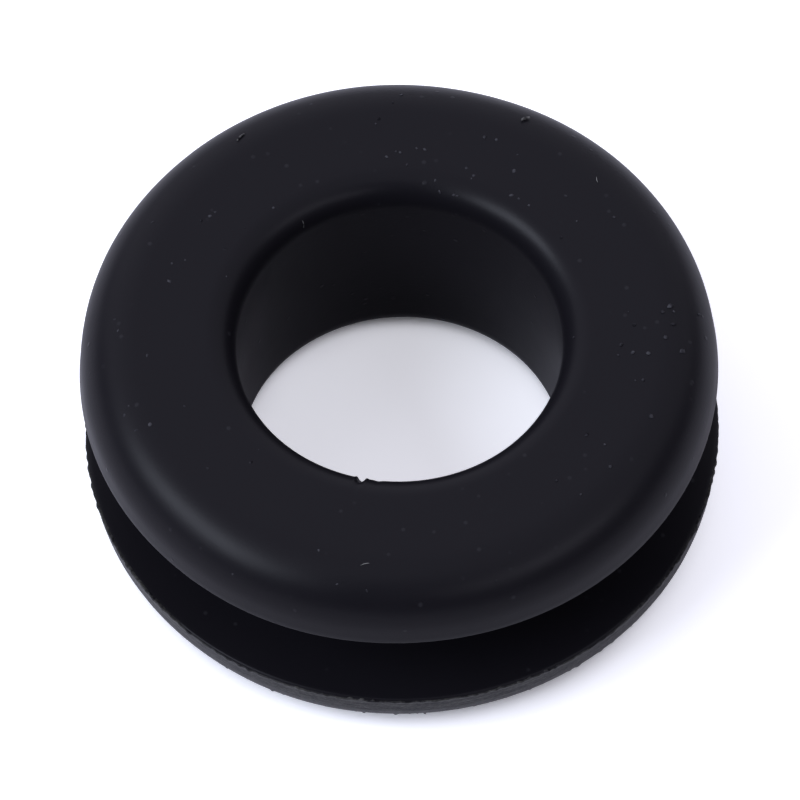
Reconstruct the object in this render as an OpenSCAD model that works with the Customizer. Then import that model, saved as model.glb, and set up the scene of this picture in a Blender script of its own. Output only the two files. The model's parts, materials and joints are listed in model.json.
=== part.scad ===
// Rubber grommet, moulded in one piece: two flanges with rounded shoulders, a groove
// between them for the edge of a panel, and a straight bore for a cable.
// It lies on its lower flange. The bore runs along +Z, and the origin is at the centre
// of the base.

/* [Bore] */
// Diameter of the bore
bore_d = 12.7; // [9:0.1:14]
// Radius of the rounded mouth at each end of the bore
mouth_r = 1.2; // [0.4:0.1:1.6]

/* [Flanges] */
// Outer diameter of each flange, across the sharp corner beside the groove
flange_d = 25; // [23:0.5:32]
// Thickness of each flange
flange_t = 2.85; // [2.5:0.05:4]
// Radius of the rounded shoulder between each flange's face and its rim
shoulder_r = 2.3; // [0.5:0.1:2.4]
// Slope of the rim between its sharp corner and the shoulder, in degrees
rim_draft = 6; // [0:0.5:12]

/* [Groove] */
// Width of the groove, which is the thickest panel that it takes
groove_w = 4.4; // [2:0.1:8]
// Diameter of the groove's floor, which is the panel's hole
groove_d = 17.5; // [16:0.1:20]
// Radius of the fillet at the foot of each groove wall
root_r = 0.4; // [0.1:0.05:0.8]

/* [Hidden] */

$fn = 96;
rubber = "#26262B";

bore_r = bore_d / 2;
flange_r = flange_d / 2;
groove_r = groove_d / 2;
height = 2 * flange_t + groove_w;

// The shoulder's arc runs into the flat face and into the sloping rim without a kink.
// So its centre is one shoulder radius from each of them, and the arc ends on the rim
// at rim_top. Both are measured as [distance from the axis, height above the groove].
shoulder_y = flange_t - shoulder_r;
rim_slope_in = (shoulder_y + shoulder_r * sin(rim_draft)) * tan(rim_draft);
shoulder = [flange_r - rim_slope_in - shoulder_r * cos(rim_draft), shoulder_y];
rim_top = shoulder + shoulder_r * [cos(rim_draft), sin(rim_draft)];

// The waste between a rounded corner and the sharp one that it replaces. The sharp
// corner is at the origin, and its sides run along +X and +Y.
module corner_waste(r) {
    difference() {
        square(r);
        translate([r, r]) circle(r);
    }
}

// Section of the upper flange, with its groove side on the X axis.
module flange_section() {
    difference() {
        union() {
            polygon([
                [bore_r, 0], [flange_r, 0], rim_top, shoulder,
                [shoulder.x, flange_t], [bore_r, flange_t]
            ]);
            // Only the quarter of the disc that faces up and out belongs to the shoulder.
            translate(shoulder) intersection() {
                circle(shoulder_r);
                square(2 * shoulder_r);
            }
        }
        translate([bore_r, flange_t]) mirror([0, 1]) corner_waste(mouth_r);
    }
}

// Section of the grommet above its mid-plane: half of the neck, and the upper flange.
module half_section() {
    translate([bore_r, 0]) square([groove_r - bore_r, groove_w / 2]);
    translate([groove_r, groove_w / 2]) mirror([0, 1]) corner_waste(root_r);
    translate([0, groove_w / 2]) flange_section();
}

module grommet() {
    color(rubber)
        translate([0, 0, height / 2])
            rotate_extrude() {
                half_section();
                mirror([0, 1]) half_section();
            }
}

grommet();
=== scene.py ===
"""A moulded rubber grommet with its trimmed rim, dust and fibres, on a white light table.

Lengths are in metres, and angles in radians, unless a comment says otherwise. The axis is Z, and
the table is z = 0.
"""

import json
import math

import bpy
import numpy as np
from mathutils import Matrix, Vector


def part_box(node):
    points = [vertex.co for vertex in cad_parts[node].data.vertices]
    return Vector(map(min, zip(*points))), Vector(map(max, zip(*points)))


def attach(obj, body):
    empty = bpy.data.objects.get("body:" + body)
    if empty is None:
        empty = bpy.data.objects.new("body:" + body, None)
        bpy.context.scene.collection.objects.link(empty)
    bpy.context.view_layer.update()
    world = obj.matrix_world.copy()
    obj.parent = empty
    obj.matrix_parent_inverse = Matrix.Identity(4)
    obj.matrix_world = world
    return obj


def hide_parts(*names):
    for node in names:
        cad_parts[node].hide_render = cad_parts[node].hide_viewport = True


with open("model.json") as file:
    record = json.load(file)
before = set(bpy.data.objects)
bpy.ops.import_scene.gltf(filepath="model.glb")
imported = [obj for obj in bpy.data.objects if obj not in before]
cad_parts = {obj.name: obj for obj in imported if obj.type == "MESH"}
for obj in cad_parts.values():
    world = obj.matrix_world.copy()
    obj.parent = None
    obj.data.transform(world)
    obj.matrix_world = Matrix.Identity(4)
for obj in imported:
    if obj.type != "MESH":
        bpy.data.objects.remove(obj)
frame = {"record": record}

bl_info = {
    "name": "Rubber Grommet",
    "version": (1, 0, 0),
    "blender": (4, 5, 0),
    "location": "View3D > Sidebar > Grommet",
    "description": "Dresses a moulded rubber grommet and lays it on a white studio table",
    "category": "Object",
}

MM = 0.001
# Colours of the lamps.
COOL_WHITE = (0.95, 0.945, 1.1)
COOLER_WHITE = (0.93, 0.99, 1.15)
# Sockets of a Mix node that mixes colours.
MIX_A, MIX_B, MIX_RESULT = 6, 7, 2
# Rows of the section along the straight part of the bore, in each half.
BORE_ROWS = 4
# How low the lip of the torn skin gets, in flash drops.
LOWEST_LIP = 2

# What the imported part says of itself. Every other size is a property below.
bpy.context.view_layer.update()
LOW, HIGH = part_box("grommet")
MOUNTS = {mount["name"]: mount["dims"] for mount in frame["record"]["mounts"]}
FLANGE_D = HIGH.x - LOW.x
HEIGHT = HIGH.z - LOW.z
BORE_D = 2 * MOUNTS["cable_bore"]["r_mm"] * MM
MOUTH_R = (HEIGHT - MOUNTS["cable_bore"]["length_mm"] * MM) / 2
GROOVE_D = 2 * MOUNTS["panel_groove"]["r_mm"] * MM
GROOVE_W = MOUNTS["panel_groove"]["length_mm"] * MM

# Dust on the upper side. Each cluster is (azimuth in degrees, distance from the axis in mm, spread
# in mm, number of crumbs). Each crumb that stands out is (azimuth, distance, length in mm). Others
# lie strewn over the whole side.
STREWN_CRUMBS = 26
DUST_CLUSTERS = (
    (88, 8.2, 0.5, 5),
    (70, 7.6, 0.6, 4),
    (65, 10.0, 0.5, 3),
    (44, 8.2, 0.7, 5),
    (3, 10.7, 0.4, 3),
    (-5, 9.9, 0.8, 7),
    (-43, 10.2, 0.4, 2),
    (-106, 9.2, 0.5, 1),
    (177, 11.1, 0.3, 2),
    (142, 8.3, 0.6, 4),
)
LARGE_CRUMBS = (
    (93, 9.8, 0.16),
    (88, 8.2, 0.16),
    (77, 7.1, 0.17),
    (75, 6.7, 0.20),
    (69, 6.5, 0.17),
    (30, 9.9, 0.18),
    (-3, 6.8, 0.16),
    (-6, 11.1, 0.28),
    (-8, 9.2, 0.22),
    (-15, 9.8, 0.16),
    (-123, 12.1, 0.20),
    (-141, 9.6, 0.20),
    (-158, 11.0, 0.20),
    (-159, 8.9, 0.15),
    (157, 8.9, 0.15),
    (145, 9.2, 0.17),
)
# Fibres and shreds, as (azimuth, distance, heading from the outward way in degrees, length and
# thickness in mm). Real fibres are 0.02 mm thick. These are thicker, so that they show.
FIBRES = (
    (123, 10.9, -72, 0.45, 0.10),
    (61.6, 11.0, -28, 0.40, 0.13),
    (124, 6.5, 170, 0.30, 0.04),
    (40, 10.4, 60, 0.30, 0.03),
    (262, 10.6, 110, 0.35, 0.03),
)


def linear(code):
    """Linear RGB of an sRGB hex colour, such as #26262B."""
    srgb = [int(code[i : i + 2], 16) / 255 for i in (1, 3, 5)]
    return [c / 12.92 if c <= 0.04045 else ((c + 0.055) / 1.055) ** 2.4 for c in srgb]


def size(name, description, default):
    """A length that a user may change, in metres."""
    return bpy.props.FloatProperty(
        name=name, description=description, default=default, min=0, precision=5,
        subtype="DISTANCE", unit="LENGTH",
    )


def angle(name, description, degrees):
    """An angle that a user may change."""
    return bpy.props.FloatProperty(
        name=name, description=description, default=math.radians(degrees), subtype="ANGLE",
        unit="ROTATION",
    )


def colour(name, description, code):
    """A colour that a user may change, from its sRGB hex code."""
    return bpy.props.FloatVectorProperty(
        name=name, description=description, default=linear(code), min=0, max=1,
        subtype="COLOR",
    )


class GrommetSizes(bpy.types.PropertyGroup):
    """The moulding's own sizes"""

    flange_d: size("Flange diameter", "Across the sharp corner beside the groove", FLANGE_D)
    height: size("Height", "From the lower face to the upper one", HEIGHT)
    bore_d: size("Bore diameter", "Straight part of the bore", BORE_D)
    mouth_r: size("Mouth radius", "Rounded edge at the upper end of the bore", MOUTH_R)
    foot_r: size("Foot radius", "Rounded edge at the lower end of the bore", 1.3 * MM)
    groove_d: size("Groove diameter", "Floor of the groove", GROOVE_D)
    groove_w: size("Groove width", "Gap between the flanges", GROOVE_W)
    root_r: size("Root fillet", "Foot of each groove wall", 0.4 * MM)
    shoulder_r: size("Shoulder radius", "Between each flange's face and its rim", 2.3 * MM)
    corner_r: size("Corner radius", "Rounding of the corner beside the groove", 0.1 * MM)
    rim_draft: angle("Rim draft", "Slope of the rim below the shoulder", 6)


class GrommetWear(bpy.types.PropertyGroup):
    """What moulding, trimming and handling left on it"""

    lean: size("Lean", "How far the lower flange stands to the right of the upper", 0.115 * MM)
    flare: size("Flare", "How much wider the upper end is than the lower one", 0.2 * MM)
    unevenness: size("Unevenness", "Depth of the slow waves in the faces", 0.012 * MM)
    nick_depth: size("Nick depth", "Cut in the upper edge of the bore", 0.22 * MM)
    nick_width: size("Nick width", "Its width along the edge", 0.36 * MM)
    nick_azimuth: angle("Nick azimuth", "Where it stands round the bore", -104)
    skin: size("Skin", "How far the torn skin of the lower rim stands off it", 0.008 * MM)
    flash_drop: size("Flash drop", "From the groove's corner down to the lip", 0.06 * MM)
    flash_reach: size("Flash reach", "How far the trimmed flash stands off the rim", 0.03 * MM)
    flake_height: size("Flake height", "How high its torn flakes stand up", 0.06 * MM)


class GrommetColours(bpy.types.PropertyGroup):
    """Colours of the rubber, of the dust on it and of the table"""

    rubber: colour("Rubber", "Rubber filled with carbon black", "#141317")
    torn: colour("Torn rubber", "Rubber where it was cut or torn", "#464643")
    dust: colour("Dust", "Dust and trimming crumbs", "#3E3E42")
    fibre: colour("Fibres", "Cotton fibres and shreds", "#7A7A78")
    table: colour("Table", "White acrylic table", "#EDEBEF")


def line(start, stop, count):
    """Even steps along a straight line, without its last point."""
    return np.linspace(start, stop, count, endpoint=False)


def arc(centre, radius, start, stop, count):
    """Points centre + radius * (cos a, sin a) for even steps of a, in degrees, without the last
    one."""
    a = np.radians(np.linspace(start, stop, count, endpoint=False))
    return centre + radius * np.column_stack((np.cos(a), np.sin(a)))


def rim_centres(sizes):
    """Centres of the upper flange's two arcs, the shoulder's and the corner's, and the unit normal
    of the straight rim that touches both. Each is a distance from the axis and a height over the
    middle."""
    wall, rim, slope = sizes.groove_w / 2, sizes.flange_d / 2, sizes.rim_draft
    tilt = np.array((math.cos(slope), math.sin(slope)))
    shoulder_z = sizes.height / 2 - sizes.shoulder_r
    rise = shoulder_z + sizes.shoulder_r * tilt[1] - wall
    shoulder = np.array((rim - rise * math.tan(slope) - sizes.shoulder_r * tilt[0], shoulder_z))
    corner = np.array((rim - sizes.corner_r * (1 + tilt[1]) / tilt[0], wall + sizes.corner_r))
    return shoulder, corner, tilt


def half_outline(sizes, mouth_r):
    """Section of the upper half: rows of distance from the axis and height over the middle. It
    runs up the bore, over the mouth, the face and the shoulder, down the rim, round its corner,
    in along the groove's wall and down to the middle of the groove's floor. Each arc starts where
    the line before it ends, and is tangent to it. The last number of each is its count of rows."""
    top, bore, groove = sizes.height / 2, sizes.bore_d / 2, sizes.groove_d / 2
    wall, draft = sizes.groove_w / 2, math.degrees(sizes.rim_draft)
    shoulder, corner, tilt = rim_centres(sizes)
    # A row close to the corner keeps its rounding from shading the flat wall.
    guard = corner[0] - 0.2 * MM
    mouth = np.array((bore + mouth_r, top - mouth_r))
    root = np.array((groove + sizes.root_r, wall - sizes.root_r))
    return np.concatenate((
        line((bore, 0), (bore, mouth[1]), BORE_ROWS),
        arc(mouth, mouth_r, 180, 90, 16),
        line((mouth[0], top), (shoulder[0], top), 5),
        arc(shoulder, sizes.shoulder_r, 90, draft, 15),
        line(shoulder + sizes.shoulder_r * tilt, corner + sizes.corner_r * tilt, 3),
        arc(corner, sizes.corner_r, draft, -90, 4),
        line((corner[0], wall), (guard, wall), 2),
        line((guard, wall), (root[0], wall), 3),
        arc(root, sizes.root_r, 90, 180, 3),
        line((groove, root[1]), (groove, 0), 1),
        [(groove, 0)],
    ))


def whole_outline(sizes):
    """The closed section, on the table: the upper half, then the lower one, which is mirrored and
    has the foot of the bore in place of its mouth."""
    upper = half_outline(sizes, sizes.mouth_r)
    lower = half_outline(sizes, sizes.foot_r)[-2:0:-1] * (1, -1)
    return np.concatenate((upper, lower)) + (0, sizes.height / 2)


def outward(outline):
    """Unit normals of a closed section: each point's chord between its neighbours, turned left."""
    chord = np.roll(outline, -1, axis=0) - np.roll(outline, 1, axis=0)
    turned = np.column_stack((-chord[:, 1], chord[:, 0]))
    return turned / np.linalg.norm(turned, axis=1, keepdims=True)


def around(r, z, angles):
    """Points (r cos a, r sin a, z) for each angle a."""
    return np.stack((r * np.cos(angles), r * np.sin(angles), z + 0 * angles), axis=-1)


def revolve(section, angles):
    """Grid with a row for each (r, z) of the section and a column for each angle."""
    return around(section[:, :1], section[:, 1:], angles)


def warp(points, sizes, wear):
    """Moves each point towards the axis in step with its depth under the middle, and likewise
    sideways, though the bore stays upright."""
    depth = 0.5 - points[..., 2:] / sizes.height
    narrowed = points * (1, 1, 0) * wear.flare / sizes.flange_d
    radius = np.hypot(points[..., :1], points[..., 1:2])
    share = np.clip((2 * radius - sizes.bore_d) / (sizes.groove_d - sizes.bore_d), 0, 1)
    return points + depth * (share * (wear.lean, 0, 0) - narrowed)


def mesh_piece(name, points, faces, finish):
    """Piece of an array of points and an array of faces with as many corners each."""
    corners = faces.shape[-1]
    count = faces.size // corners
    mesh = bpy.data.meshes.new(name)
    mesh.vertices.add(points.size // 3)
    mesh.vertices.foreach_set("co", points.astype(np.float32).ravel())
    mesh.loops.add(faces.size)
    mesh.loops.foreach_set("vertex_index", faces.astype(np.int32).ravel())
    mesh.polygons.add(count)
    mesh.polygons.foreach_set("loop_start", np.arange(count, dtype=np.int32) * corners)
    mesh.update(calc_edges=True)
    mesh.shade_smooth()
    mesh.materials.append(finish)
    piece = bpy.data.objects.new(name, mesh)
    bpy.context.scene.collection.objects.link(piece)
    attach(piece, "root")
    return piece


def ring_piece(name, grid, finish):
    """Piece of a grid of points whose last row and last column join the first ones."""
    rows, columns = grid.shape[:2]
    here = np.arange(rows * columns).reshape(rows, columns)
    beside, below = np.roll(here, -1, axis=1), np.roll(here, -1, axis=0)
    across = np.roll(beside, -1, axis=0)
    return mesh_piece(name, grid, np.stack((here, below, across, beside), axis=-1), finish)


def bell(x, centre, width):
    """Bell curve exp(-t squared), where t is the distance from the centre in widths."""
    return np.exp(-((x - centre) / width) ** 2)


def slow_waves(points, shortest, seed):
    """Height between about -1 and 1 at each point: the mean of plane waves cos(k . p + phase)
    whose directions and phases are random, and whose lengths run from the shortest to thrice
    that."""
    rng = np.random.default_rng(seed)
    count = 12
    ways = rng.normal(size=(count, 3))
    ways /= np.linalg.norm(ways, axis=1, keepdims=True)
    lengths = shortest * rng.uniform(1, 3, count)
    phases = rng.uniform(0, 2 * math.pi, count)
    turns = points @ (2 * math.pi * ways / lengths[:, None]).T + phases
    return np.cos(turns).sum(axis=-1) / math.sqrt(count)


def swell(points, wear):
    """How far the slow waves in the moulding move each point along its normal. They fade out just
    over the table, so that it stands flat."""
    fade = np.clip(points[..., 2] / (0.5 * MM), 0, 1)
    return wear.unevenness * fade * slow_waves(points, 5 * MM, seed=4)


def ragged(angles, coarsest, finest, seed):
    """Closed random line with a mean of 0 and a spread of 1: a sum of cosines, each with a whole
    number of waves in the turn."""
    rng = np.random.default_rng(seed)
    waves = np.arange(coarsest, finest)
    phases = rng.uniform(0, 2 * math.pi, len(waves))
    total = np.cos(np.outer(angles, waves) + phases).sum(axis=1)
    return total / total.std()


def nick(section, normals, angles, sizes, wear):
    """How far the nick moves each point of the grid along its normal. Across the edge it is a V
    with low swollen lips, and a shallow dent beside it, all measured in half widths of the V.
    Along the section it is a bell curve round the part of the mouth that leans by 58 degrees."""
    deepest = math.radians(58)
    edge = sizes.bore_d / 2 + sizes.mouth_r * (1 - math.sin(deepest))
    off = (angles - wear.nick_azimuth + math.pi) % (2 * math.pi) - math.pi
    across = off * edge / (wear.nick_width / 2)
    cut = np.clip(1 - np.abs(across), 0, None)
    lips = 0.14 * bell(np.abs(across), centre=1.2, width=0.3)
    dent = 0.14 * bell(across, centre=3.6, width=0.8)
    upper = section[:, 1] > sizes.height / 2
    leaning = np.arctan2(-normals[:, 0], normals[:, 1])
    along = bell(leaning, centre=deepest, width=0.4) * upper
    return wear.nick_depth * along[:, None] * (lips - cut - dent)


class GROMMET_OT_body(bpy.types.Operator):
    """Revolves the moulded section and presses the nick into the bore's edge"""

    bl_idname = "grommet.body"
    bl_label = "Moulded body"

    def execute(self, context):
        sizes, wear = context.scene.grommet_sizes, context.scene.grommet_wear
        section = whole_outline(sizes)
        normals = outward(section)
        # Columns stand close together only where the nick needs them.
        fine_columns, coarse_columns, half_window = 110, 750, math.radians(5)
        start, stop = wear.nick_azimuth - half_window, wear.nick_azimuth + half_window
        angles = np.concatenate((
            line(start, stop, fine_columns), line(stop, start + 2 * math.pi, coarse_columns)
        ))
        grid = revolve(section, angles)
        moved = swell(grid, wear) + nick(section, normals, angles, sizes, wear)
        grid = grid + revolve(normals, angles) * moved[..., None]
        piece = ring_piece("grommet_body", warp(grid, sizes, wear), moulded_rubber())
        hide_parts("grommet")
        return {"FINISHED"}


def torn_skin(sizes, wear, angles):
    """Grid over the rim and half the shoulder of the lower flange, which lies a skin's thickness
    off them. Streaks, which are waves squeezed across the rim, roughen it. Teeth stand where a
    ragged line is high. The skin ends at a ragged line, and is hidden inside the body past it."""
    shoulder, corner, tilt = rim_centres(sizes)
    draft = math.degrees(sizes.rim_draft)
    end = draft + 48
    rim_rows, shoulder_rows = 5, 17
    # The first row is as far along the rim as the lip gets.
    along = np.array((-tilt[1], tilt[0]))
    below = sizes.corner_r * tilt + LOWEST_LIP * wear.flash_drop * along
    section = np.concatenate((
        line(corner + below, shoulder + sizes.shoulder_r * tilt, rim_rows),
        arc(shoulder, sizes.shoulder_r, draft, end, shoulder_rows),
    ))
    normals = np.concatenate((
        np.tile(tilt, (rim_rows, 1)), arc((0, 0), 1, draft, end, shoulder_rows)
    ))
    # The lower flange is the upper one's mirror image.
    middle, mirror = (0, sizes.height / 2), (1, -1)
    surface = revolve(section * mirror + middle, angles)

    # How far down each row lies, from 0 to 1.
    down = np.linspace(0, 1, len(section))[:, None]
    streaks = slow_waves(surface * (0.12, 0.12, 1), 0.13 * MM, seed=9)
    teeth = np.clip(ragged(angles, 50, 300, seed=31) - 0.9, 0, 1.2)
    roughness = 1 + 0.4 * streaks + 5 * bell(down, centre=0.67, width=0.1) * teeth
    last = 0.9 + 0.07 * ragged(angles, 9, 90, seed=13)
    shown = np.clip((last - down) / 0.1, 0, 1)
    skin = wear.skin * ((roughness + 1) * shown - 1)
    moved = swell(surface, wear) + skin
    return surface + revolve(normals * mirror, angles) * moved[..., None]


def torn_lip(sizes, wear, angles):
    """Grid of the lip over the torn skin: its root, which is hidden in the body, its crest and its
    outer side. It wanders up and down the rim by one ragged line, sticks out by another and rises
    in flakes by a third, and the flakes are taller in some places than in others."""
    # This seed was picked out of 4000, as the one that best keeps the lip low between 243 and 305
    # degrees and high to the left and right of them. Behind, the lip wanders by chance.
    drop = wear.flash_drop * np.clip(1 + ragged(angles, 2, 7, seed=2758), 0, LOWEST_LIP)
    reach = wear.flash_reach * np.clip(0.7 + 0.5 * ragged(angles, 40, 220, seed=7), 0, 2)
    flakes = np.clip(ragged(angles, 30, 220, seed=11) - 0.2, 0, 1.6)
    clusters = np.clip(0.6 + 0.6 * ragged(angles, 3, 14, seed=5), 0.1, 1.6)
    lift = wear.flake_height * flakes * clusters + wear.skin
    edge = sizes.flange_d / 2
    start = (sizes.height - sizes.groove_w) / 2 - drop
    rows = (
        (edge - 0.5 * MM, start - 0.5 * MM),
        (edge - 0.13 * MM, start - wear.skin),
        (edge + 0.5 * reach - 0.025 * MM, start + lift),
        (edge + reach, start + 0.6 * lift),
        (edge + reach, start - 0.05 * MM),
    )
    return np.stack([around(r, z, angles) for r, z in rows])


class GROMMET_OT_trim(bpy.types.Operator):
    """Covers the lower rim with the torn skin, lip and flakes that trimming left"""

    bl_idname = "grommet.trim"
    bl_label = "Trimmed rim"

    def execute(self, context):
        sizes, wear = context.scene.grommet_sizes, context.scene.grommet_wear
        columns = 2200
        angles = np.linspace(0, 2 * math.pi, columns, endpoint=False)
        grid = np.concatenate((torn_lip(sizes, wear, angles), torn_skin(sizes, wear, angles)))
        ring_piece("trimmed_rim", warp(grid, sizes, wear), torn_rubber())
        return {"FINISHED"}


def perch(sizes, wear, azimuth, distance):
    """Points of the upper side at given azimuths and distances from the axis, with the normals
    there."""
    section = half_outline(sizes, sizes.mouth_r)
    normals = outward(section)
    reach = slice(BORE_ROWS, int(np.argmax(section[:, 0])))
    z, across, up = (
        np.interp(distance, section[reach, 0], column[reach])
        for column in (section[:, 1], normals[:, 0], normals[:, 1])
    )
    x, y = np.cos(azimuth), np.sin(azimuth)
    point = np.stack((distance * x, distance * y, z + sizes.height / 2), axis=-1)
    return warp(point, sizes, wear), np.stack((across * x, across * y, up), axis=-1)


def tangents(azimuth, normals, headings):
    """Two unit vectors along the surface at each normal. The first one is turned by its heading
    from the way that leads outwards from the axis."""
    round_axis = np.stack((-np.sin(azimuth), np.cos(azimuth), 0 * azimuth), axis=-1)
    outwards = np.cross(round_axis, normals)
    cos, sin = np.cos(headings)[:, None], np.sin(headings)[:, None]
    first = outwards * cos + round_axis * sin
    return first, np.cross(normals, first)


def spindle_faces(rings, corners):
    """Triangles of a closed spindle: a point, rings of points that are each turned half a step
    against the last, and a point."""
    here = np.arange(corners)
    beside = np.roll(here, -1)
    start = 1 + corners * np.arange(rings)
    top = np.stack((0 * here, start[0] + here, start[0] + beside), axis=-1)
    upper, lower = start[:-1, None], start[1:, None]
    down = np.stack((upper + here, lower + here, upper + beside), axis=-1)
    up = np.stack((lower + here, lower + beside, upper + beside), axis=-1)
    last = start[-1] + corners
    foot = np.stack((last + 0 * here, start[-1] + beside, start[-1] + here), axis=-1)
    return np.concatenate((top, down.reshape(-1, 3), up.reshape(-1, 3), foot))


def strew(rng, sizes):
    """Azimuth, distance from the axis and length of every crumb: first those of the clusters,
    spread normally round their middles, then those strewn evenly, then the large ones. The
    lengths of all but the large ones are lognormal."""
    counts = [cluster[3] for cluster in DUST_CLUSTERS]
    middle = np.repeat(np.array(DUST_CLUSTERS)[:, :3], counts, axis=0)
    distance, spread = middle[:, 1] * MM, middle[:, 2] * MM
    azimuth = np.radians(middle[:, 0]) + rng.normal(size=len(middle)) * spread / distance
    distance = distance + rng.normal(size=len(middle)) * spread
    near, far = sizes.bore_d / 2 + 0.4 * MM, sizes.flange_d / 2 - 0.3 * MM
    large = np.array(LARGE_CRUMBS)
    azimuth = np.concatenate((
        azimuth, rng.uniform(0, 2 * math.pi, STREWN_CRUMBS), np.radians(large[:, 0])
    ))
    distance = np.concatenate((
        distance, rng.uniform(near, far, STREWN_CRUMBS), large[:, 1] * MM
    ))
    usual = 0.16
    small = rng.lognormal(math.log(usual), 0.3, len(azimuth) - len(large))
    length = np.concatenate((small, large[:, 2])) * MM
    return azimuth, np.clip(distance, near, far), length


def round_lump():
    """Points of a unit ball: a pole, a ring of six at 35 degrees of latitude, another at -20 that
    is turned by 30 degrees, and a pole. Also its faces."""
    corners = 6
    turn = np.radians(np.arange(corners) * 360 / corners + np.array([[0], [30]]))
    latitude = np.radians([[35], [-20]])
    rings = around(np.cos(latitude), np.sin(latitude), turn)
    points = np.concatenate(([(0, 0, 1)], rings.reshape(-1, 3), [(0, 0, -1)]))
    return points, spindle_faces(len(rings), corners)


class GROMMET_OT_crumbs(bpy.types.Operator):
    """Scatters dust and trimming crumbs over the upper side"""

    bl_idname = "grommet.crumbs"
    bl_label = "Dust and crumbs"

    def execute(self, context):
        sizes, wear = context.scene.grommet_sizes, context.scene.grommet_wear
        rng = np.random.default_rng(seed=17)
        azimuth, distance, length = strew(rng, sizes)
        count = len(azimuth)
        points, normals = perch(sizes, wear, azimuth, distance)
        first, second = tangents(azimuth, normals, rng.uniform(0, math.pi, count))
        # Each crumb is a ball with dented corners, flattened and drawn out along its axes.
        ball, faces = round_lump()
        lumps = ball * rng.uniform(0.7, 1.15, (count, len(ball), 1))
        wide = length * rng.uniform(0.55, 1, count)
        high = np.minimum(wide, 0.12 * MM) * 0.4
        grid = points[:, None] + sum(
            lumps[..., i, None] * (across[:, None] / 2 * axis)[:, None]
            for i, (across, axis) in enumerate(((length, first), (wide, second), (high, normals)))
        )
        faces = faces + len(ball) * np.arange(count)[:, None, None]
        tone = context.scene.grommet_colours.dust
        mesh_piece("dust_and_crumbs", grid, faces, fluff("pale_dust", tone))
        return {"FINISHED"}


def spindles(points, normals, first, second, length, thick):
    """Closed tubes that lie on the surface, bent along the arc (t, (1/4 - t squared) / 4) for t
    from -1/2 to 1/2, in lengths. Their radius follows sqrt(1 - (1.7 t) squared), so they taper
    to a point at each end. Also the faces of all."""
    corners, rings = 6, 9
    # Arrays of tubes, rings, points round a ring and coordinates.
    first, second, normals = (axis[:, None, None] for axis in (first, second, normals))
    length, radius = (across[:, None, None, None] for across in (length, thick / 2))
    t = np.linspace(-0.5, 0.5, rings)[:, None, None]
    spine = t * first + 0.25 * (0.25 - t ** 2) * second
    turn = np.radians(60 * np.arange(corners) + 30 * np.arange(rings)[:, None])[..., None]
    ring = np.sqrt(1 - (1.7 * t) ** 2) * (np.cos(turn) * second + np.sin(turn) * normals)
    middle = points[:, None, None] + normals * radius
    tubes = (middle + length * spine + radius * ring).reshape(len(points), -1, 3)
    tips = (middle + length * np.array([[[-0.53]], [[0.53]]]) * first)[:, :, 0]
    grid = np.concatenate((tips[:, :1], tubes, tips[:, 1:]), axis=1)
    faces = spindle_faces(rings, corners)[:, ::-1]
    return grid, faces + grid.shape[1] * np.arange(len(points))[:, None, None]


class GROMMET_OT_fibres(bpy.types.Operator):
    """Lays a few short fibres on the upper side"""

    bl_idname = "grommet.fibres"
    bl_label = "Fibres"

    def execute(self, context):
        sizes, wear = context.scene.grommet_sizes, context.scene.grommet_wear
        azimuth, distance, heading, length, thick = np.array(FIBRES).T
        azimuth = np.radians(azimuth)
        points, normals = perch(sizes, wear, azimuth, distance * MM)
        first, second = tangents(azimuth, normals, np.radians(heading))
        grid, faces = spindles(points, normals, first, second, length * MM, thick * MM)
        tone = context.scene.grommet_colours.fibre
        mesh_piece("fibres", grid, faces, fluff("cotton_fibre", tone))
        return {"FINISHED"}


def node(tree, kind, inputs=None, **settings):
    """Adds a node with its settings. Each input is a value or the socket that feeds it."""
    made = tree.nodes.new(kind)
    for name, value in settings.items():
        setattr(made, name, value)
    for name, value in (inputs or {}).items():
        if isinstance(value, bpy.types.NodeSocket):
            tree.links.new(value, made.inputs[name])
        else:
            made.inputs[name].default_value = value
    return made


def empty_material(name):
    """The material of that name, without nodes, and its tree."""
    made = bpy.data.materials.get(name) or bpy.data.materials.new(name)
    made.use_nodes = True
    made.node_tree.nodes.clear()
    return made, made.node_tree


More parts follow.
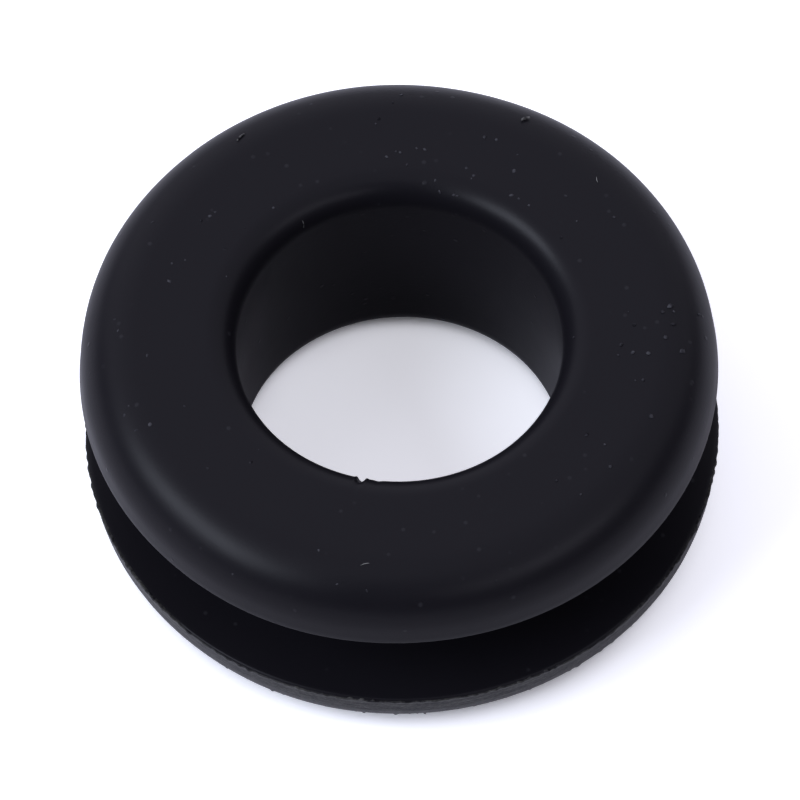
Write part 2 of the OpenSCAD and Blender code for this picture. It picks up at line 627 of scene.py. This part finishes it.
# Rubber filled with carbon black, moulded in a finely blasted steel mould. The filler leaves it
# almost no colour of its own. The blasted grain and a thin bloom of wax weaken its gloss, so that
# softboxes show as broad dim bands, and only grazing light is bright on it.
def moulded_rubber():
    """Satin black rubber, with grain, uneven bloom and settled dust."""
    colours = bpy.context.scene.grommet_colours
    made, tree = empty_material("satin_black_rubber")
    place = node(tree, "ShaderNodeTexCoord").outputs["Object"]

    # Bloom: cloudy patches some 3 mm across.
    bloom = node(tree, "ShaderNodeTexNoise", {
        "Vector": place, "Scale": 1 / (3 * MM), "Detail": 3, "Roughness": 0.6,
    })
    # Dust: one grain in some of the cells of 0.6 mm, thicker where a slow noise is high.
    cells = node(tree, "ShaderNodeTexVoronoi", {"Vector": place, "Scale": 1 / (0.6 * MM)})
    drift = node(tree, "ShaderNodeTexNoise", {
        "Vector": place, "Scale": 1 / (4 * MM), "Detail": 1,
    })
    chance = node(tree, "ShaderNodeSeparateColor", {"Color": cells.outputs["Color"]})
    favour = node(tree, "ShaderNodeMath", {
        0: drift.outputs["Fac"], 1: 0.45, 2: chance.outputs["Red"],
    }, operation="MULTIPLY_ADD")
    chosen = node(tree, "ShaderNodeMapRange", {
        "Value": favour.outputs[0], "From Min": 0.9, "From Max": 1.1,
    })
    speck = node(tree, "ShaderNodeMapRange", {
        "Value": cells.outputs["Distance"], "From Min": 0.2, "From Max": 0.07,
    }, interpolation_type="SMOOTHSTEP")
    settled = node(tree, "ShaderNodeMath", {
        0: chosen.outputs[0], 1: speck.outputs[0],
    }, operation="MULTIPLY")
    thin = node(tree, "ShaderNodeMath", {0: settled.outputs[0], 1: 0.2}, operation="MULTIPLY")
    tint = node(tree, "ShaderNodeMix", {
        "Factor": thin.outputs[0], MIX_A: (*colours.rubber, 1), MIX_B: (*colours.dust, 1),
    }, data_type="RGBA")

    matt = node(tree, "ShaderNodeMapRange", {
        "Value": bloom.outputs["Fac"], "From Min": 0.3, "From Max": 0.7, "To Min": 0.35,
        "To Max": 0.395,
    })
    # Grain: the blasted mould's is about 0.05 mm, drawn at 0.14 mm so that it shows.
    grain = node(tree, "ShaderNodeTexNoise", {
        "Vector": place, "Scale": 1 / (0.14 * MM), "Detail": 2, "Roughness": 0.6,
    })
    grained = node(tree, "ShaderNodeBump", {
        "Height": grain.outputs["Fac"], "Strength": 1, "Distance": 0.003 * MM,
    })
    raised = node(tree, "ShaderNodeBump", {
        "Height": settled.outputs[0], "Strength": 1, "Distance": 0.01 * MM,
        "Normal": grained.outputs[0],
    })
    shader = node(tree, "ShaderNodeBsdfPrincipled", {
        "Base Color": tint.outputs[MIX_RESULT], "Roughness": matt.outputs[0], "IOR": 1.52,
        "Specular IOR Level": 0.105, "Normal": raised.outputs[0],
    })
    node(tree, "ShaderNodeOutputMaterial", {"Surface": shader.outputs[0]})
    return made


# The same rubber where the flash was cut and torn off. The blade dragged it round the rim, so the
# fracture runs in streaks. It is rough and has no wax on it, and looks greyer than moulded rubber.
def torn_rubber():
    """Torn black rubber, with streaks round the rim."""
    colours = bpy.context.scene.grommet_colours
    made, tree = empty_material("torn_black_rubber")
    place = node(tree, "ShaderNodeTexCoord").outputs["Object"]
    # Streaks: about 1 mm long and 0.12 mm wide.
    squeezed = node(tree, "ShaderNodeVectorMath", {0: place, 1: (1, 1, 8)}, operation="MULTIPLY")
    streaks = node(tree, "ShaderNodeTexNoise", {
        "Vector": squeezed.outputs[0], "Scale": 1 / (1 * MM), "Detail": 2, "Roughness": 0.6,
    })
    fracture = node(tree, "ShaderNodeTexNoise", {
        "Vector": place, "Scale": 1 / (0.13 * MM), "Detail": 2, "Roughness": 0.7,
    })
    both = node(tree, "ShaderNodeMath", {
        0: streaks.outputs["Fac"], 1: fracture.outputs["Fac"],
    }, operation="ADD")
    bare = node(tree, "ShaderNodeMapRange", {
        "Value": both.outputs[0], "From Min": 0.8, "From Max": 1.3,
    })
    # The blade hardly touched the lowest part, which keeps the colour it was moulded in.
    height = node(tree, "ShaderNodeSeparateXYZ", {"Vector": place})
    cut = node(tree, "ShaderNodeMapRange", {
        "Value": height.outputs["Z"], "From Min": 0.65 * MM, "From Max": 1.15 * MM,
    }, interpolation_type="SMOOTHSTEP")
    share = node(tree, "ShaderNodeMath", {
        0: bare.outputs[0], 1: cut.outputs[0],
    }, operation="MULTIPLY")
    tint = node(tree, "ShaderNodeMix", {
        "Factor": share.outputs[0], MIX_A: (*colours.rubber, 1), MIX_B: (*colours.torn, 1),
    }, data_type="RGBA")
    torn = node(tree, "ShaderNodeBump", {
        "Height": both.outputs[0], "Strength": 1, "Distance": 0.015 * MM,
    })
    shader = node(tree, "ShaderNodeBsdfPrincipled", {
        "Base Color": tint.outputs[MIX_RESULT], "Roughness": 0.4, "IOR": 1.52,
        "Specular IOR Level": 0.14, "Normal": torn.outputs[0],
    })
    node(tree, "ShaderNodeOutputMaterial", {"Surface": shader.outputs[0]})
    return made


# Household dust, cotton fibres and talc from the mould: fluffy and without any gloss. Where it is
# thin, the rubber under it shows.
def fluff(name, tone):
    """Dust or fibres of a pale tone."""
    rubber = bpy.context.scene.grommet_colours.rubber
    made, tree = empty_material(name)
    place = node(tree, "ShaderNodeTexCoord").outputs["Object"]
    thickness = node(tree, "ShaderNodeTexNoise", {
        "Vector": place, "Scale": 1 / (0.3 * MM), "Detail": 2,
    })
    cover = node(tree, "ShaderNodeMapRange", {
        "Value": thickness.outputs["Fac"], "From Min": 0.3, "From Max": 0.6,
    })
    tint = node(tree, "ShaderNodeMix", {
        "Factor": cover.outputs[0], MIX_A: (*rubber, 1), MIX_B: (*tone, 1),
    }, data_type="RGBA")
    shader = node(tree, "ShaderNodeBsdfPrincipled", {
        "Base Color": tint.outputs[MIX_RESULT], "Roughness": 0.9, "Specular IOR Level": 0.1,
    })
    node(tree, "ShaderNodeOutputMaterial", {"Surface": shader.outputs[0]})
    return made


# Matt white acrylic, lit through from below. Only the camera sees that glow, so the part isn't lit
# by it and its shadows stay pale. The glow's strength follows ambient occlusion, so it fades round
# the part's foot and under its rounded edges: a painted contact shadow, deep only at the foot.
def white_table():
    """White acrylic light table, with a painted contact shadow round the part's foot."""
    white = bpy.context.scene.grommet_colours.table
    made, tree = empty_material("white_acrylic_table")
    camera_ray = node(tree, "ShaderNodeLightPath").outputs["Is Camera Ray"]
    plain = node(tree, "ShaderNodeBsdfDiffuse", {"Color": (*white, 1)})
    seen = node(tree, "ShaderNodeBsdfDiffuse", {"Color": (1, 1, 1, 1)})
    # Painted shade: the glow's strength follows ambient occlusion, which darkens the table round
    # the foot.
    open_sky = node(tree, "ShaderNodeAmbientOcclusion", {"Distance": 3 * MM}, samples=8)
    glow_with_painted_shade = node(tree, "ShaderNodeMapRange", {
        "Value": open_sky.outputs["AO"], "From Min": 0.23, "From Max": 0.43,
    })
    glow = node(tree, "ShaderNodeEmission", {
        "Color": (0.46, 0.46, 0.49, 1), "Strength": glow_with_painted_shade.outputs[0],
    })
    both = node(tree, "ShaderNodeAddShader", {0: seen.outputs[0], 1: glow.outputs[0]})
    mixed = node(tree, "ShaderNodeMixShader", {
        0: camera_ray, 1: plain.outputs[0], 2: both.outputs[0],
    })
    node(tree, "ShaderNodeOutputMaterial", {"Surface": mixed.outputs[0]})
    return made


def direction(azimuth, elevation):
    """Unit vector for an azimuth from +X and an elevation over the table, in degrees."""
    a, e = math.radians(azimuth), math.radians(elevation)
    return Vector((math.cos(e) * math.cos(a), math.cos(e) * math.sin(a), math.sin(e)))


def softbox(name, towards, away, wide, tall, radiance, tint=COOL_WHITE, shape="RECTANGLE"):
    """Area light that faces the origin from a distance away. It takes up the half-angles wide and
    tall there, in degrees. Its power is radiance * pi * area."""
    data = bpy.data.lights.new(name, "AREA")
    data.shape = shape
    data.size = 2 * away * math.tan(math.radians(wide))
    data.size_y = 2 * away * math.tan(math.radians(tall))
    area = data.size * data.size_y * (math.pi / 4 if shape == "ELLIPSE" else 1)
    data.energy = radiance * math.pi * area
    data.color = tint
    light = bpy.data.objects.new(name, data)
    light.location = towards * away
    light.rotation_euler = towards.to_track_quat("Z", "Y").to_euler()
    bpy.context.scene.collection.objects.link(light)


def lay_table(scene):
    """Square table, two metres wide."""
    half = 1.0
    corners = [(-half, -half, 0), (half, -half, 0), (half, half, 0), (-half, half, 0)]
    mesh = bpy.data.meshes.new("table")
    mesh.from_pydata(corners, [], [(0, 1, 2, 3)])
    mesh.materials.append(white_table())
    table = bpy.data.objects.new("table", mesh)
    scene.collection.objects.link(table)


def hang_backdrop(scene):
    """World that is white for the camera and lights nothing."""
    world = bpy.data.worlds.new("studio")
    scene.world = world
    world.use_nodes = True
    tree = world.node_tree
    tree.nodes.clear()
    camera_ray = node(tree, "ShaderNodeLightPath").outputs["Is Camera Ray"]
    white = node(tree, "ShaderNodeBackground", {
        "Color": (1, 1, 1, 1), "Strength": camera_ray,
    })
    node(tree, "ShaderNodeOutputWorld", {"Surface": white.outputs[0]})


def aim_camera(scene):
    """Long lens, half a metre away, that looks down at the middle of the part and is held with a
    slight roll. Its angles, aim and lens were fitted to the part's edges."""
    elevation, roll, away = 58.5, -1.49, 0.5
    aim = Vector((-0.024, 0, 4.91)) * MM
    data = bpy.data.cameras.new("camera")
    data.lens = 572.1
    data.clip_start, data.clip_end = 0.01, 10
    camera = bpy.data.objects.new("camera", data)
    camera.location = aim + direction(-90, elevation) * away
    camera.rotation_mode = "ZYX"
    camera.rotation_euler = (math.radians(90 - elevation), 0, math.radians(roll))
    scene.collection.objects.link(camera)
    scene.camera = camera


class GROMMET_OT_stage(bpy.types.Operator):
    """Lays the table and sets the lights and the camera"""

    bl_idname = "grommet.stage"
    bl_label = "Table, lights and camera"

    def execute(self, context):
        scene = context.scene
        lay_table(scene)
        # Each softbox has its direction, distance, two half-angles and radiance. They were fitted
        # to the shades on the rubber and then adjusted.
        softbox("overhead", direction(84, 60), 0.5, 61, 57, 0.82, shape="ELLIPSE")
        softbox("key", direction(199, 40), 0.8, 19.8, 10.6, 9.35, tint=COOLER_WHITE)
        softbox("fill", direction(315.6, 39.4), 0.8, 23, 7.4, 2.93)
        softbox("backdrop", direction(115, 33.5), 1.0, 32.3, 24.4, 0.22)
        hang_backdrop(scene)
        aim_camera(scene)
        scene.view_settings.view_transform = "Standard"
        return {"FINISHED"}


class GROMMET_PT_panel(bpy.types.Panel):
    """Lists the grommet's sizes, wear, colours and operators"""

    bl_idname = "GROMMET_PT_panel"
    bl_label = "Rubber Grommet"
    bl_space_type = "VIEW_3D"
    bl_region_type = "UI"
    bl_category = "Grommet"

    def draw(self, context):
        for title, group in (
            ("Sizes", context.scene.grommet_sizes),
            ("Wear", context.scene.grommet_wear),
            ("Colours", context.scene.grommet_colours),
        ):
            box = self.layout.box()
            box.label(text=title)
            for name in group.__annotations__:
                box.prop(group, name)
        for operator in OPERATORS:
            self.layout.operator(operator.bl_idname)


OPERATORS = (
    GROMMET_OT_body, GROMMET_OT_trim, GROMMET_OT_crumbs, GROMMET_OT_fibres, GROMMET_OT_stage
)
CLASSES = (GrommetSizes, GrommetWear, GrommetColours, *OPERATORS, GROMMET_PT_panel)


def register():
    for each in CLASSES:
        bpy.utils.register_class(each)
    bpy.types.Scene.grommet_sizes = bpy.props.PointerProperty(type=GrommetSizes)
    bpy.types.Scene.grommet_wear = bpy.props.PointerProperty(type=GrommetWear)
    bpy.types.Scene.grommet_colours = bpy.props.PointerProperty(type=GrommetColours)


def unregister():
    del bpy.types.Scene.grommet_colours
    del bpy.types.Scene.grommet_wear
    del bpy.types.Scene.grommet_sizes
    for each in reversed(CLASSES):
        bpy.utils.unregister_class(each)


def main():
    """Builds the pieces and the stage."""
    register()
    bpy.ops.grommet.body()
    bpy.ops.grommet.trim()
    bpy.ops.grommet.crumbs()
    bpy.ops.grommet.fibres()
    bpy.ops.grommet.stage()


if __name__ == "__main__":
    main()
